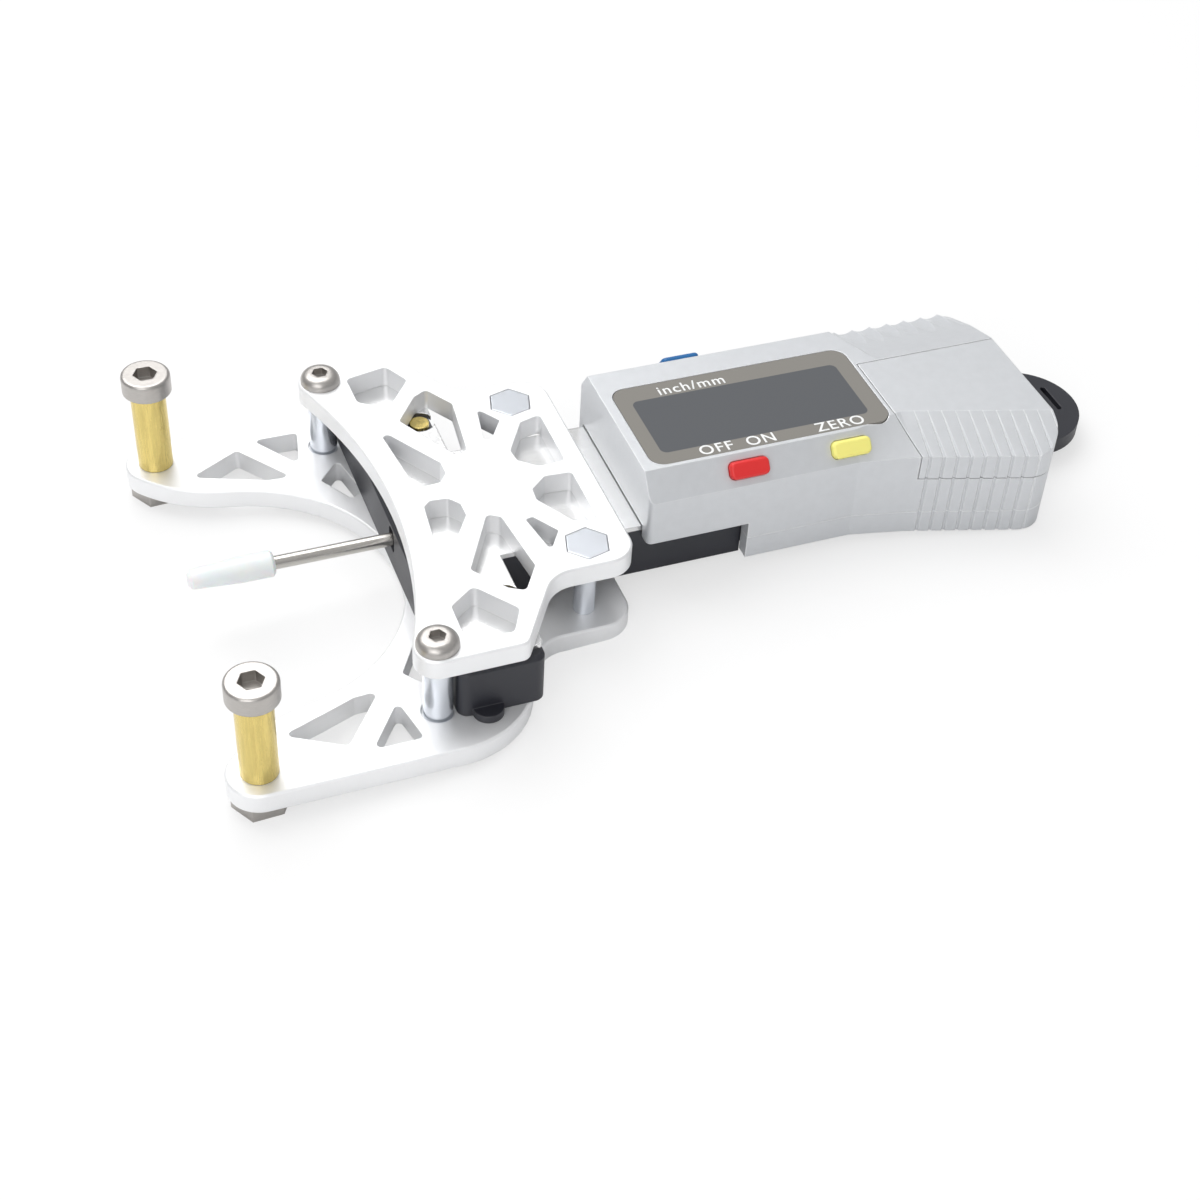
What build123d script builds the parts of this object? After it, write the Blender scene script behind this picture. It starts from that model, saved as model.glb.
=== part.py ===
from build123d import *
import os
from math import atan2, cos, hypot, sin, sqrt

# Belt tension gauge, in millimetres.
# Two milled plates hold the foot of a digital depth gauge. The belt lies on the two brass
# rollers, and the gauge's rod pushes it out of line between them.
# X runs from the rollers to the gauge's tail, Y to the far side, Z up.
# The origin is the middle of the line between the rollers, on the lower plate's underside.

# Plates
plate_thickness = 3.2
plate_gap = 8.6
roller_y = 32.2
arm_end_radius = 4.4
throat_centre_x = 4.4
throat_radius = 23.0
arm_blend_radius = 20.0
lower_corner_x = 33.9
lower_corner_radius = 13.0
lower_waist_x = 41.4
ear_y = 20.7
waist_fillet = 5.0
lower_rear_x = 55.5
lower_rear_radius = 4.4
upper_front_centre_x = -47.8
upper_end_radius = 3.2
upper_corner_x = 35.6
upper_corner_radius = 1.6
upper_waist_x = 42.8
upper_rear_x = 55.2
upper_rear_radius = 4.0
edge_break = 0.25

# Fasteners of the plates
roller_shank_radius = 2.0
roller_head_radius = 3.5
roller_head_height = 2.8
roller_hex = 3.0
sleeve_radius = 2.5
sleeve_height = 13.2
running_clearance = 0.05
nut_hex = 7.0
nut_height = 2.2
front_screw_x = 24.4
front_screw_y = 28.9
spacer_radius = 2.0
spacer_recess = 0.5
spacer_recess_radius = 2.3
screw_radius = 1.5
screw_clearance = 0.1
button_head_radius = 2.85
button_head_height = 1.65
button_hex = 2.0
rear_bolt_x = 49.2
rear_bolt_y = 16.2
bolt_hex = 5.5
bolt_head_height = 2.0
bolt_turn = 15.0
screw_end_height = 0.3

# Gauge foot, neck, rail and tail
foot_front_x = 26.6
foot_depth = 11.9
foot_half_width = 31.2
foot_corner_radius = 1.5
foot_pad_x = 30.5
foot_pad_radius = 2.1
foot_pad_height = 1.2
neck_half_width = 11.6
neck_end_x = 74.4
rail_half_width = 8.8
rail_top = 9.0
rail_thickness = 2.4
land_half_width = 7.0
land_height = 1.2
land_end_x = 117.4
tail_centre_x = 125.7
tail_slot_x = 131.2
tail_slot_length = 5.8
tail_slot_width = 0.9
tail_slot_depth = 1.0
rod_height = 8.1
rod_radius = 0.95
rod_bore_clearance = 0.08
rod_slot_width = 2.4
rod_slot_height = 3.8
rod_slot_depth = 3.0
foot_screw_x = 36.5
foot_screw_y = 19.5
foot_screw_radius = 0.8
foot_screw_head_radius = 1.4
foot_screw_head_height = 0.7
steel_thickness = 0.8
steel_front_x = 27.5
steel_bar_depth = 11.0
steel_half_width = 29.6
steel_hole_radius = 2.2
steel_end_gap = 0.4
board_thickness = 1.6

# Display unit
unit_front_x = 59.0
unit_top = 21.1
unit_bottom = 4.0
unit_rear_x = 119.7
seam_height = 7.6
ridge_y = 11.2
side_y = 14.0
facet_height = 17.3
skirt_bottom = 10.2
notch_x = 74.3
wall = 1.5
top_wall = 1.7
shell_fit = 0.3
blend_front_x = 90.5
grip_front_x = 98.5
near_flare = 0.289
near_shoulder_y = 9.3
near_edge_y = 15.65
near_edge_height = 17.6
grip_corner_radius = 4.0
front_corner_radius = 0.8
far_blend_x = 97.0
far_grip_x = 100.7
cover_far_y = 2.7
far_edge_y = 15.8
far_edge_height = 17.2
scallops = 7
scallop_pitch = 2.9
scallop_radius = 2.4
scallop_depth = 0.7
stop_gap = 0.6

# Buttons, window and display
window_x = 78.7
window_y = -1.85
frame_length = 36.2
frame_width = 17.5
frame_radius = 2.2
lens_thickness = 1.2
lens_step = 0.05
view_length = 31.5
view_width = 11.95
view_y = -2.3
lcd_length = 34.0
lcd_width = 13.4
lcd_thickness = 2.2
button_length = 5.8
button_width = 2.5
button_proud = 1.0
button_travel = 0.5
button_gap = 0.08
flange_thickness = 0.6
flange_rim = 0.3
front_button_x = 73.9
zero_button_x = 89.4
pcb_thickness = 1.2
pcb_bottom = 12.1
connector_width = 1.2

# Battery and its cover
battery_radius = 5.8
battery_height = 5.4
battery_x = 108.6
battery_y = -3.5
cover_front_x = 97.4
cover_corner_x = 99.4
cover_gap = 0.15
cover_thickness = 1.4
cover_bottom = 13.6
cover_inner_y = 13.9
ribs = 11
rib_pitch = 1.9
rib_front_x = 100.4
rib_depth = 0.3
contact_thickness = 0.3

# Rod, its clamp and its tip
rod_end_x = 83.6
clamp_front_x = 77.0
clamp_rear_x = 84.0
clamp_half_width = 2.5
clamp_top = 10.4
grub_radius = 0.9
tip_front_x = -1.8
tip_length = 11.8
tip_radius = 1.85
tip_nose_radius = 1.4
tip_depth = 10.0
travel = 16.4
housing_screw_radius = 0.8
housing_screw_head = 1.6
screw_rear_x = 114.5
screw_y = 12.0
screw_reach = 3.5
screw_head_depth = 1.2
screw_inset = 0.2
switch_length = 4.0
contact_width = 3.0
contact_foot = 1.0
spring_front_x = 78.0
spring_rear_x = 92.0
spring_pocket = 0.5
spring_thickness = 0.2

upper_bottom = plate_thickness + plate_gap
upper_top = upper_bottom + plate_thickness
steel_bottom = upper_bottom - steel_thickness
rail_bottom = rail_top - rail_thickness
land_top = rail_top + land_height
foot_rear_x = foot_front_x + foot_depth
sides = {"far": 1, "near": -1}

os.makedirs("parts", exist_ok=True)


def save(piece, name):
    # Label a finished piece and write it to its own file
    piece.label = name
    export_step(piece, f"parts/{name}.step")


def cut_outline(points, corner_radius):
    # A milled pocket's outline with rounded corners
    with BuildSketch() as outline:
        with BuildLine():
            Polyline(*points, close=True)
        make_face()
        fillet(outline.vertices(), corner_radius)
    return outline.sketch


def hexagon(across_flats):
    # Corner radius of a hexagon
    return across_flats / sqrt(3)


# Lower plate outline: the throat's circle blends into each arm's round end
blend_far = throat_radius + arm_blend_radius
blend_near = arm_blend_radius - arm_end_radius
arm_reach = hypot(throat_centre_x, roller_y)
blend_along = (blend_far**2 - blend_near**2 + arm_reach**2) / (2 * arm_reach)
blend_across = sqrt(blend_far**2 - blend_along**2)
arm_direction = Vector(-throat_centre_x, roller_y).normalized()
arm_normal = Vector(arm_direction.Y, -arm_direction.X)
throat_centre = Vector(throat_centre_x, 0)
arm_centre = Vector(0, roller_y)
blend_centre = throat_centre + arm_direction * blend_along + arm_normal * blend_across
throat_end = throat_centre + (blend_centre - throat_centre) * (throat_radius / blend_far)
arm_start = blend_centre + (arm_centre - blend_centre).normalized() * arm_blend_radius
arm_outer_y = roller_y + arm_end_radius

lower_pockets = [
    cut_outline([(4.2, 27.2), (11.8, 31.4), (18.0, 23.2), (14.6, 23.4), (10.6, 24.9)], 0.6),
    cut_outline([(14.6, 33.0), (19.8, 25.8), (21.3, 33.0)], 0.6),
    cut_outline([(21.9, 21.0), (25.4, 24.8), (27.0, 16.8), (25.1, 15.8)], 0.6),
]

with BuildPart() as lower_plate:
    with BuildSketch():
        with BuildLine():
            throat_apex = throat_centre + Vector(throat_radius, 0)
            RadiusArc(throat_apex, throat_end, -throat_radius)
            RadiusArc(throat_end, arm_start, arm_blend_radius)
            RadiusArc(arm_start, (0, arm_outer_y), arm_end_radius)
            outer = FilletPolyline(
                (0, arm_outer_y),
                (lower_corner_x, arm_outer_y),
                (lower_waist_x, ear_y),
                (lower_rear_x, ear_y),
                (lower_rear_x, 0),
                radius=[lower_corner_radius, waist_fillet, lower_rear_radius],
            )
            Line(outer @ 1, throat_apex)
        make_face()
        add(lower_pockets, mode=Mode.SUBTRACT)
        mirror(about=Plane.XZ)
    extrude(amount=plate_thickness)
    faces_up = lower_plate.faces().sort_by(Axis.Z)
    chamfer(faces_up[-1].outer_wire().edges() + faces_up[0].outer_wire().edges(), edge_break)
    with Locations((0, roller_y, 0), (0, -roller_y, 0)):
        Cylinder(roller_shank_radius, 3 * plate_thickness, mode=Mode.SUBTRACT)
    with Locations((front_screw_x, front_screw_y, 0), (front_screw_x, -front_screw_y, 0)):
        Cylinder(screw_radius, 3 * plate_thickness, mode=Mode.SUBTRACT)
    with Locations(
        (front_screw_x, front_screw_y, plate_thickness),
        (front_screw_x, -front_screw_y, plate_thickness),
    ):
        Cylinder(spacer_recess_radius, 2 * spacer_recess, mode=Mode.SUBTRACT)
    with Locations((rear_bolt_x, rear_bolt_y, 0), (rear_bolt_x, -rear_bolt_y, 0)):
        Cylinder(screw_radius, 3 * plate_thickness, mode=Mode.SUBTRACT)
    with Locations((foot_screw_x, foot_screw_y, 0), (foot_screw_x, -foot_screw_y, 0)):
        Cylinder(foot_screw_radius, 3 * plate_thickness, mode=Mode.SUBTRACT)
save(lower_plate.part, "lower_plate")

# Upper plate outline: its long front arc runs into the round ends at the front screws
upper_front_centre = Vector(upper_front_centre_x, 0)
upper_end_centre = Vector(front_screw_x, front_screw_y)
upper_reach = (upper_end_centre - upper_front_centre).length
upper_front_radius = upper_reach - upper_end_radius
upper_end_start = upper_front_centre + (
    upper_end_centre - upper_front_centre
) * (upper_front_radius / upper_reach)
upper_outer_y = front_screw_y + upper_end_radius

upper_pockets = [
    cut_outline([(28.1, 28.3), (34.4, 29.6), (36.5, 25.6), (32.0, 19.8), (28.2, 22.6)], 0.9),
    cut_outline([(38.2, 6.6), (39.9, 7.6), (41.1, 18.3), (38.4, 22.6), (36.3, 21.4), (32.7, 16.6)], 0.7),
    cut_outline([(29.2, 15.9), (35.5, 5.9), (35.5, 3.4), (34.2, 1.8), (31.7, 1.6), (30.6, 2.6)], 0.6),
    cut_outline([(44.1, 16.1), (46.4, 12.6), (44.0, 8.9), (42.9, 9.1)], 0.4),
    cut_outline([(49.1, 11.3), (52.3, 12.2), (52.3, 1.4), (48.4, 1.2), (45.9, 3.3), (45.7, 5.6)], 0.6),
]

with BuildPart() as upper_plate:
    with BuildSketch(Plane.XY.offset(upper_bottom)):
        with BuildLine():
            front_apex = upper_front_centre + Vector(upper_front_radius, 0)
            RadiusArc(front_apex, upper_end_start, -upper_front_radius)
            RadiusArc(upper_end_start, (front_screw_x, upper_outer_y), upper_end_radius)
            outer = FilletPolyline(
                (front_screw_x, upper_outer_y),
                (upper_corner_x, upper_outer_y),
                (upper_waist_x, ear_y),
                (upper_rear_x, ear_y),
                (upper_rear_x, 0),
                radius=[upper_corner_radius, waist_fillet, upper_rear_radius],
            )
            Line(outer @ 1, front_apex)
        make_face()
        add(upper_pockets, mode=Mode.SUBTRACT)
        mirror(about=Plane.XZ)
    extrude(amount=plate_thickness)
    faces_up = upper_plate.faces().sort_by(Axis.Z)
    chamfer(faces_up[-1].outer_wire().edges() + faces_up[0].outer_wire().edges(), edge_break)
    with BuildSketch(Plane.XY.offset(upper_bottom)):
        with Locations((front_screw_x, front_screw_y), (front_screw_x, -front_screw_y)):
            Circle(screw_radius + screw_clearance)
        with Locations((rear_bolt_x, rear_bolt_y), (rear_bolt_x, -rear_bolt_y)):
            Circle(screw_radius + screw_clearance)
    extrude(amount=plate_thickness, mode=Mode.SUBTRACT)
    with BuildSketch(Plane.XY.offset(upper_top)):
        with Locations((rear_bolt_x, rear_bolt_y), (rear_bolt_x, -rear_bolt_y)):
            RegularPolygon(hexagon(bolt_hex + 2 * screw_clearance), 6, rotation=bolt_turn)
    extrude(amount=-bolt_head_height, mode=Mode.SUBTRACT)
save(upper_plate.part, "upper_plate")

# Rollers: socket head screw, brass sleeve that turns on it, thin nut under the arm
head_bottom = plate_thickness + sleeve_height + 2 * running_clearance
for side, sign in sides.items():
    centre = (0, sign * roller_y)
    with BuildPart() as roller_screw:
        with BuildSketch(Plane.XY.offset(-nut_height)):
            with Locations(centre):
                Circle(roller_shank_radius)
        extrude(amount=nut_height + head_bottom)
        with BuildSketch(Plane.XY.offset(head_bottom)):
            with Locations(centre):
                Circle(roller_head_radius)
        extrude(amount=roller_head_height)
        head_rim = roller_screw.edges().filter_by(GeomType.CIRCLE).sort_by(Axis.Z)[-1]
        fillet(head_rim, 0.5)
        with BuildSketch(Plane.XY.offset(head_bottom + roller_head_height)):
            with Locations(centre):
                RegularPolygon(hexagon(roller_hex), 6)
        extrude(amount=-0.6 * roller_head_height, mode=Mode.SUBTRACT)
    save(roller_screw.part, f"roller_screw_{side}")

    with BuildPart() as roller_sleeve:
        with BuildSketch(Plane.XY.offset(plate_thickness + running_clearance)):
            with Locations(centre):
                Circle(sleeve_radius)
                Circle(roller_shank_radius + running_clearance, mode=Mode.SUBTRACT)
        extrude(amount=sleeve_height)
    save(roller_sleeve.part, f"roller_sleeve_{side}")

    with BuildPart() as roller_nut:
        with BuildSketch(Plane.XY.offset(-nut_height)):
            with Locations(centre):
                RegularPolygon(hexagon(nut_hex), 6)
                Circle(roller_shank_radius, mode=Mode.SUBTRACT)
        extrude(amount=nut_height)
    save(roller_nut.part, f"roller_nut_{side}")

# Front spacers with their button head screws
for side, sign in sides.items():
    centre = (front_screw_x, sign * front_screw_y)
    with BuildPart() as front_spacer:
        with BuildSketch(Plane.XY.offset(plate_thickness - spacer_recess)):
            with Locations(centre):
                Circle(spacer_radius)
                Circle(screw_radius + screw_clearance, mode=Mode.SUBTRACT)
        extrude(amount=plate_gap + spacer_recess)
    save(front_spacer.part, f"front_spacer_{side}")

    with BuildPart() as front_screw:
        with BuildSketch(Plane.XY.offset(screw_end_height)):
            with Locations(centre):
                Circle(screw_radius)
        extrude(amount=upper_top - screw_end_height)
        with BuildSketch(Plane.XY.offset(upper_top)):
            with Locations(centre):
                Circle(button_head_radius)
        extrude(amount=button_head_height)
        head_rim = front_screw.edges().filter_by(GeomType.CIRCLE).sort_by(Axis.Z)[-1]
        fillet(head_rim, 0.8 * button_head_height)
        with BuildSketch(Plane.XY.offset(upper_top + button_head_height)):
            with Locations(centre):
                RegularPolygon(hexagon(button_hex), 6)
        extrude(amount=-0.7 * button_head_height, mode=Mode.SUBTRACT)
    save(front_screw.part, f"front_screw_{side}")

# Rear hexagon bolts, flush in their pockets
for side, sign in sides.items():
    centre = (rear_bolt_x, sign * rear_bolt_y)
    with BuildPart() as rear_bolt:
        with BuildSketch(Plane.XY.offset(screw_end_height)):
            with Locations(centre):
                Circle(screw_radius)
        extrude(amount=upper_top - bolt_head_height - screw_end_height)
        with BuildSketch(Plane.XY.offset(upper_top - bolt_head_height)):
            with Locations(centre):
                RegularPolygon(hexagon(bolt_hex), 6, rotation=bolt_turn)
        extrude(amount=bolt_head_height)
    save(rear_bolt.part, f"rear_bolt_{side}")

# Slot in the rail through which the rod's clamp travels
rod_slot_front = neck_end_x + 0.8
rod_slot_rear = clamp_rear_x + travel + 1.0
rod_slot_half = clamp_half_width + 0.4
rod_slot_mid = (rod_slot_front + rod_slot_rear) / 2

# Black moulding: foot bar between the plates, neck, rail and round tail
with BuildPart() as gauge_foot:
    with BuildSketch(Plane.XY.offset(plate_thickness)):
        with Locations(((foot_front_x + foot_rear_x) / 2, 0)):
            RectangleRounded(foot_depth, 2 * foot_half_width, foot_corner_radius)
        with Locations(((foot_rear_x + neck_end_x) / 2 - foot_corner_radius, 0)):
            Rectangle(neck_end_x - foot_rear_x + 2 * foot_corner_radius, 2 * neck_half_width)
    extrude(amount=steel_bottom - plate_thickness)
    chamfer(gauge_foot.edges().group_by(Axis.Z)[-1].filter_by(Axis.Y).sort_by(Axis.X)[0], 0.6)
    with BuildSketch(Plane.XY.offset(plate_thickness)):
        with Locations(
            (foot_pad_x, foot_half_width),
            (foot_pad_x, -foot_half_width),
        ):
            Circle(foot_pad_radius)
    extrude(amount=foot_pad_height)
    with BuildSketch(Plane.XY.offset(rail_bottom)):
        with Locations(((neck_end_x + tail_centre_x) / 2, 0)):
            Rectangle(tail_centre_x - neck_end_x, 2 * rail_half_width)
        with Locations((tail_centre_x, 0)):
            Circle(rail_half_width)
    extrude(amount=rail_thickness)
    with BuildSketch(Plane.XY.offset(rail_top)):
        with Locations(((neck_end_x + land_end_x) / 2, 0)):
            Rectangle(land_end_x - neck_end_x, 2 * land_half_width)
    extrude(amount=land_height)
    with BuildSketch(Plane.XY.offset(rail_bottom)):
        with Locations((rod_slot_mid, 0)):
            SlotOverall(rod_slot_rear - rod_slot_front, 2 * rod_slot_half)
    extrude(amount=land_top - rail_bottom, mode=Mode.SUBTRACT)
    with BuildSketch(Plane.XY.offset(rail_top)):
        with Locations((tail_slot_x, 0.6)):
            SlotOverall(tail_slot_length, tail_slot_width, rotation=90)
    extrude(amount=-tail_slot_depth, mode=Mode.SUBTRACT)
    with BuildSketch(Plane.YZ.offset(foot_front_x)):
        with Locations((0, rod_height)):
            Circle(rod_radius + rod_bore_clearance)
    extrude(amount=rod_slot_mid - foot_front_x, mode=Mode.SUBTRACT)
    with BuildSketch(Plane.YZ.offset(foot_front_x)):
        with Locations((0, rod_height)):
            RectangleRounded(rod_slot_width, rod_slot_height, rod_slot_width / 3)
    extrude(amount=rod_slot_depth, mode=Mode.SUBTRACT)
    with Locations((foot_screw_x, foot_screw_y, 0), (foot_screw_x, -foot_screw_y, 0)):
        Cylinder(foot_screw_radius, 3 * upper_top, mode=Mode.SUBTRACT)
save(gauge_foot.part, "gauge_foot")

# Thin stainless plate on the foot and the neck
with BuildPart() as steel_plate:
    with BuildSketch(Plane.XY.offset(steel_bottom)):
        with Locations((steel_front_x + steel_bar_depth / 2, 0)):
            RectangleRounded(steel_bar_depth, 2 * steel_half_width, 1.0)
        stem_length = neck_end_x - steel_end_gap - steel_front_x
        with Locations((steel_front_x + stem_length / 2, 0)):
            RectangleRounded(stem_length, 2 * neck_half_width, 1.0)
        with Locations((foot_screw_x, foot_screw_y), (foot_screw_x, -foot_screw_y)):
            Circle(steel_hole_radius, mode=Mode.SUBTRACT)
    extrude(amount=steel_thickness)
save(steel_plate.part, "steel_plate")

# Screws that hold the foot to the lower plate
for side, sign in sides.items():
    centre = (foot_screw_x, sign * foot_screw_y)
    with BuildPart() as foot_screw:
        with BuildSketch(Plane.XY.offset(screw_end_height)):
            with Locations(centre):
                Circle(foot_screw_radius)
        extrude(amount=steel_bottom - screw_end_height)
        with BuildSketch(Plane.XY.offset(steel_bottom)):
            with Locations(centre):
                Circle(foot_screw_head_radius)
        extrude(amount=foot_screw_head_height)
    save(foot_screw.part, f"foot_screw_{side}")

# Scale board on the rail's land, with the same slot
with BuildPart() as scale_board:
    with BuildSketch(Plane.XY.offset(land_top)):
        with Locations(((neck_end_x + land_end_x) / 2, 0)):
            Rectangle(land_end_x - neck_end_x - 2 * steel_end_gap, 2 * land_half_width - 0.4)
        with Locations((rod_slot_mid, 0)):
            SlotOverall(rod_slot_rear - rod_slot_front, 2 * rod_slot_half, mode=Mode.SUBTRACT)
    extrude(amount=board_thickness)
save(scale_board.part, "scale_board")


def near_section(x, shoulder_y, bend, edge, wall_y):
    # Near half of the unit's cross section at x, from the cover's far edge to the near wall
    with BuildSketch(Plane.YZ.offset(x)) as section:
        with BuildLine():
            Polyline(
                (cover_far_y, unit_bottom),
                (cover_far_y, unit_top),
                (-shoulder_y, unit_top),
                (-bend[0], bend[1]),
                (-edge[0], edge[1]),
                (-wall_y, unit_bottom),
                close=True,
            )
        make_face()
    return section.sketch


def grip_near_section(x):
    # Near half of the grip's cross section, which flares towards the rear
    flare = near_flare * (x - grip_front_x)
    shoulder = near_shoulder_y + flare
    edge = near_edge_y + flare
    bend = (edge - 0.4, near_edge_height + 0.4 * (unit_top - near_edge_height) / (edge - shoulder))
    return near_section(x, shoulder, bend, (edge, near_edge_height), edge)


def far_section(x, ridge, edge_y, edge_height):
    # Far half of the unit's cross section at x
    with BuildSketch(Plane.YZ.offset(x)) as section:
        with BuildLine():
            Polyline(
                (cover_far_y, unit_bottom),
                (cover_far_y, unit_top),
                (ridge, unit_top),
                (edge_y, edge_height),
                (edge_y, unit_bottom),
                close=True,
            )
        make_face()
    return section.sketch


def front_near_section(x):
    # Near half of the front's cross section, with the steep facet for the buttons
    return near_section(x, near_shoulder_y, (ridge_y, unit_top), (side_y, facet_height), side_y)


# Outer form of the display unit, before it is parted into its shells and cover
with BuildPart() as unit_form:
    loft([front_near_section(unit_front_x), front_near_section(blend_front_x)], ruled=True)
    loft([front_near_section(blend_front_x), grip_near_section(grip_front_x)], ruled=True)
    loft([grip_near_section(grip_front_x), grip_near_section(unit_rear_x)], ruled=True)
    loft([
        far_section(unit_front_x, ridge_y, side_y, facet_height),
        far_section(far_blend_x, ridge_y, side_y, facet_height),
    ], ruled=True)
    loft([
        far_section(far_blend_x, ridge_y, side_y, facet_height),
        far_section(far_grip_x, cover_far_y + 0.2, far_edge_y, far_edge_height),
    ], ruled=True)
    loft([
        far_section(far_grip_x, cover_far_y + 0.2, far_edge_y, far_edge_height),
        far_section(unit_rear_x, cover_far_y + 0.2, far_edge_y, far_edge_height),
    ], ruled=True)
    # Rounded corners of the plan outline
    with BuildSketch(Plane.XY.offset(unit_bottom)):
        with BuildLine():
            FilletPolyline(
                (unit_front_x, -side_y),
                (blend_front_x, -side_y),
                (grip_front_x, -near_edge_y),
                (unit_rear_x, -near_edge_y - near_flare * (unit_rear_x - grip_front_x)),
                (unit_rear_x, far_edge_y),
                (far_grip_x, far_edge_y),
                (far_blend_x, side_y),
                (unit_front_x, side_y),
                radius=[front_corner_radius, 0, 0, grip_corner_radius, 1.5, 0, 0, front_corner_radius],
                close=True,
            )
        make_face()
    extrude(amount=unit_top - unit_bottom, mode=Mode.INTERSECT)
    # Ribs of the grip: each groove runs down the near slope and the near wall
    for rib in range(ribs):
        groove_x = rib_front_x + rib * rib_pitch
        flare = near_flare * (groove_x - grip_front_x)
        top_point = Vector(groove_x, -near_shoulder_y - flare, unit_top + rib_depth)
        edge_point = Vector(groove_x, -near_edge_y - flare, near_edge_height)
        slope = edge_point - top_point
        with BuildSketch(Plane(top_point, x_dir=(1, 0, 0), z_dir=slope)):
            RegularPolygon(rib_depth, 4)
        extrude(amount=slope.length + rib_depth, mode=Mode.SUBTRACT)
        with BuildSketch(Plane.XY.offset(unit_bottom)):
            with Locations((groove_x, -near_edge_y - flare)):
                RegularPolygon(rib_depth, 4)
        extrude(amount=near_edge_height - unit_bottom, mode=Mode.SUBTRACT)
    # Finger scallops along the grip's far edge, deepest at the edge
    for scallop in range(scallops):
        scallop_x = far_grip_x + (scallop + 0.5) * scallop_pitch
        start = Vector(scallop_x, (cover_far_y + far_edge_y) / 2, (unit_top + far_edge_height) / 2)
        end = Vector(scallop_x, far_edge_y, far_edge_height)
        lift = Vector(0, end.Z - start.Z, start.Y - end.Y).normalized() * -1
        start = start + lift * scallop_radius
        end = end + lift * (scallop_radius - scallop_depth)
        slope = end - start
        with BuildSketch(Plane(start, x_dir=(1, 0, 0), z_dir=slope)):
            Circle(scallop_radius)
        extrude(amount=1.3 * slope.length, mode=Mode.SUBTRACT)

# Where the battery cover lies on the shell, and the core that it slides along
facet_angle = atan2(side_y - ridge_y, unit_top - facet_height)
channel_half = rail_half_width + 0.2
land_channel_half = land_half_width + shell_fit
neck_channel_half = neck_half_width + shell_fit
channel_front_x = neck_end_x + stop_gap
channel_top = rail_top + running_clearance
cavity_front_x = unit_front_x + wall
cavity_rear_x = cover_front_x - wall
cavity_half = side_y - wall
cavity_top = unit_top - top_wall
block_half = cavity_half - 0.2
pcb_top = pcb_bottom + pcb_thickness
core_top = unit_top - cover_thickness
battery_floor = pcb_bottom + wall
pocket_radius = battery_radius + shell_fit
side_contact_x = battery_x - battery_radius - contact_thickness - running_clearance


def inner_facet_y(z, skin):
    # Distance from the middle to the steep facet's inner face, a skin inside its outer face
    outer_y = ridge_y + (unit_top - z) * (side_y - ridge_y) / (unit_top - facet_height)
    return outer_y - skin / cos(facet_angle)


def inner_facet_z(y, skin):
    # Height at which the steep facet's inner face meets the side wall's inner face
    outer_y = y + skin / cos(facet_angle)
    return unit_top - (outer_y - ridge_y) * (unit_top - facet_height) / (side_y - ridge_y)


def cover_zone(gap):
    # Space of the battery cover, seen from above, smaller by a gap all round
    with BuildPart() as zone:
        with BuildSketch(Plane.XY.offset(cover_bottom + gap)):
            with BuildLine():
                Polyline(
                    (cover_front_x + gap, cover_far_y - gap),
                    (cover_front_x + gap, -near_shoulder_y),
                    (cover_corner_x + gap, -near_edge_y - 1),
                    (cover_corner_x + gap, -2 * near_edge_y),
                    (unit_rear_x + 1, -2 * near_edge_y),
                    (unit_rear_x + 1, cover_far_y - gap),
                    close=True,
                )
            make_face()
        extrude(amount=unit_top - cover_bottom)
    return zone.part


def cover_core(gap):
    # Core of the shell under the cover, straight along X so that the cover slides off
    slope_y = near_edge_y - near_shoulder_y
    slope_z = unit_top - near_edge_height
    skin_y = cover_thickness * hypot(slope_y, slope_z) / slope_z
    top_y = near_shoulder_y + cover_thickness * slope_y / slope_z - skin_y
    low_z = core_top - (cover_inner_y - top_y) * slope_z / slope_y
    with BuildPart() as core:
        with BuildSketch(Plane.YZ.offset(cover_front_x - 1)):
            with BuildLine():
                Polyline(
                    (cover_far_y + 1, cover_bottom - 1),
                    (cover_far_y + 1, core_top + gap),
                    (-top_y, core_top + gap),
                    (-cover_inner_y - gap, low_z + gap),
                    (-cover_inner_y - gap, cover_bottom - 1),
                    close=True,
                )
            make_face()
        extrude(amount=unit_rear_x - cover_front_x + 2)
    return core.part


def facet_plane(x, sign, depth):
    # Plane parallel to a steep facet, at a depth below its outer face
    reach = (ridge_y + side_y) / 2 - depth * cos(facet_angle)
    height = (unit_top + facet_height) / 2 - depth * sin(facet_angle)
    outward = (0, sign * cos(facet_angle), sin(facet_angle))
    return Plane((x, sign * reach, height), x_dir=(1, 0, 0), z_dir=outward)


buttons = {
    "units": (front_button_x, 1),
    "power": (front_button_x, -1),
    "zero": (zero_button_x, -1),
}

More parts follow.
